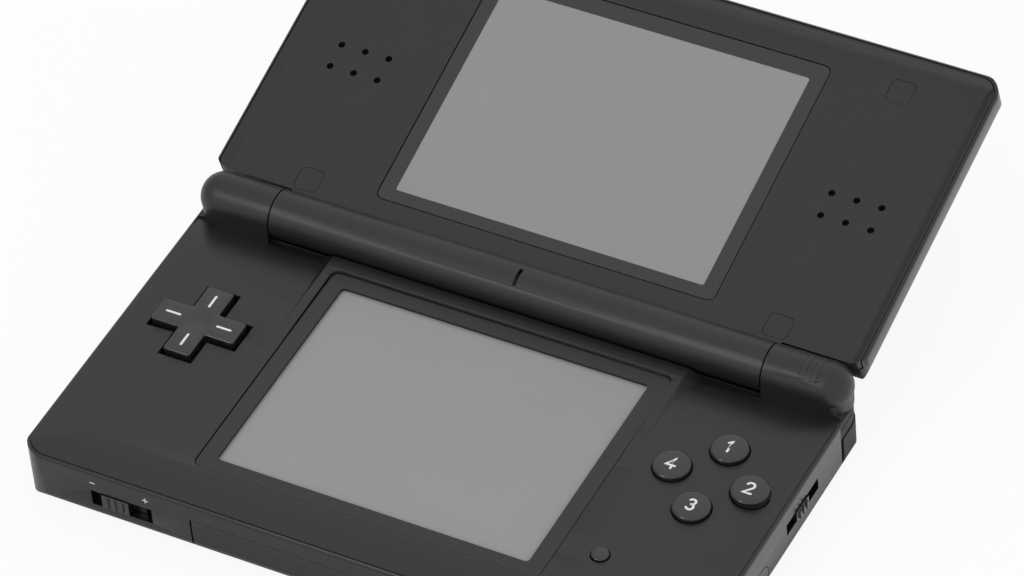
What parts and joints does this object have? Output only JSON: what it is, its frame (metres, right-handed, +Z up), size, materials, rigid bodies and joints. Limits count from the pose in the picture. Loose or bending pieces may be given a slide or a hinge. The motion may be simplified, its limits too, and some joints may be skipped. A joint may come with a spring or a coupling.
{
  "type": "clamshell handheld game console",
  "caption": "Black clamshell handheld game console, opened, with a screen in each half, direction pad, round buttons, shoulder levers, stylus and sliding switches.",
  "frame": {"origin": "centre of the base's footprint, on the surface that the rubber feet stand on", "axes": "+X to the user's right, +Y from the front wall to the hinge, +Z up out of the control panel"},
  "size_m": [0.1336, 0.1376, 0.0339],
  "materials": {
    "gloss_shell": "gloss",
    "matte_shell": "fine matte",
    "bezel": "satin",
    "lens": "clear with a printed dark border",
    "display": "unlit grey",
    "controls": "satin",
    "rubber": "matte",
    "silicone": "matte",
    "steel": "plain",
    "board": "lacquered",
    "socket": "moulded",
    "cell": "wrapped",
    "light_window": "frosted",
    "cable": "film"
  },
  "bodies": {
    "base": {"lower_housing": "gloss_shell", "control_panel": "matte_shell", "touch_bezel": "bezel", "touch_glass": "display", "lower_display": "display", "main_board": "board", "pad_membrane": "silicone", "button_membrane": "silicone", "card_cage": "steel", "front_slot_connector": "socket", "battery": "cell", "battery_cover": "gloss_shell", "battery_screw": "steel", "charging_socket": "socket", "headphone_socket": "socket", "volume_switch": "socket", "power_switch": "socket", "shoulder_switches": "steel", "shoulder_pins": "steel", "wireless_board": "board", "hinge_clutch": "steel", "hinge_bush": "steel", "light_pipes": "light_window", "rubber_feet": "rubber", "case_screws": "steel"},
    "lid": {"lid_cover": "gloss_shell", "lid_face": "matte_shell", "upper_lens": "lens", "upper_display": "display", "left_speaker": "socket", "right_speaker": "socket", "microphone": "steel", "lid_plugs": "matte_shell", "lid_screws": "steel", "lid_cable": "cable"},
    "pad_pivot": {"pad_pivot": "steel"},
    "direction_pad": {"direction_pad": "controls"},
    "button_rear": {"button_rear": "controls"},
    "button_right": {"button_right": "controls"},
    "button_front": {"button_front": "controls"},
    "button_left": {"button_left": "controls"},
    "start_button": {"start_button": "controls"},
    "select_button": {"select_button": "controls"},
    "left_shoulder": {"left_shoulder": "gloss_shell"},
    "right_shoulder": {"right_shoulder": "gloss_shell"},
    "volume_slider": {"volume_slider": "controls"},
    "power_slider": {"power_slider": "controls"},
    "stylus": {"stylus": "controls"},
    "dust_cover": {"dust_cover": "gloss_shell"}
  },
  "joints": [
    {"name": "lid_hinge", "type": "hinge", "parent": "base", "child": "lid", "pos_m": [0, 0.03225, 0.015], "axis": [1, 0, 0], "range_deg": [0, 165.3]},
    {"name": "pad_tilt_fore_aft", "type": "hinge", "parent": "base", "child": "pad_pivot", "pos_m": [-0.0507, 0.0023, 0.0104], "axis": [1, 0, 0], "range_deg": [-1.5, 1.5], "stiffness_Nm_per_rad": 0.05},
    {"name": "pad_tilt_sideways", "type": "hinge", "parent": "pad_pivot", "child": "direction_pad", "pos_m": [-0.0507, 0.0023, 0.0104], "axis": [0, 1, 0], "range_deg": [-1.5, 1.5], "stiffness_Nm_per_rad": 0.05},
    {"name": "button_rear_press", "type": "slide", "parent": "base", "child": "button_rear", "axis": [0, 0, -1], "range_m": [0, 0.0005], "stiffness_N_per_m": 400},
    {"name": "button_right_press", "type": "slide", "parent": "base", "child": "button_right", "axis": [0, 0, -1], "range_m": [0, 0.0005], "stiffness_N_per_m": 400},
    {"name": "button_front_press", "type": "slide", "parent": "base", "child": "button_front", "axis": [0, 0, -1], "range_m": [0, 0.0005], "stiffness_N_per_m": 400},
    {"name": "button_left_press", "type": "slide", "parent": "base", "child": "button_left", "axis": [0, 0, -1], "range_m": [0, 0.0005], "stiffness_N_per_m": 400},
    {"name": "start_button_press", "type": "slide", "parent": "base", "child": "start_button", "axis": [0, 0, -1], "range_m": [0, 0.0005], "stiffness_N_per_m": 400},
    {"name": "select_button_press", "type": "slide", "parent": "base", "child": "select_button", "axis": [0, 0, -1], "range_m": [0, 0.0005], "stiffness_N_per_m": 400},
    {"name": "left_shoulder_press", "type": "hinge", "parent": "base", "child": "left_shoulder", "pos_m": [-0.0524, 0.0339, 0.0047], "axis": [0, 0, 1], "range_deg": [0, 3.5], "stiffness_Nm_per_rad": 0.1},
    {"name": "right_shoulder_press", "type": "hinge", "parent": "base", "child": "right_shoulder", "pos_m": [0.0524, 0.0339, 0.0047], "axis": [0, 0, -1], "range_deg": [0, 3.5], "stiffness_Nm_per_rad": 0.1},
    {"name": "volume_slide", "type": "slide", "parent": "base", "child": "volume_slider", "axis": [1, 0, 0], "range_m": [-0.0019, 0.0044]},
    {"name": "power_slide", "type": "slide", "parent": "base", "child": "power_slider", "axis": [0, 1, 0], "range_m": [0, 0.003], "stiffness_N_per_m": 150},
    {"name": "stylus_draw", "type": "slide", "parent": "base", "child": "stylus", "axis": [1, 0, 0], "range_m": [0, 0.0874]},
    {"name": "dust_cover_draw", "type": "slide", "parent": "base", "child": "dust_cover", "axis": [0, -1, 0], "range_m": [0, 0.022]}
  ]
}
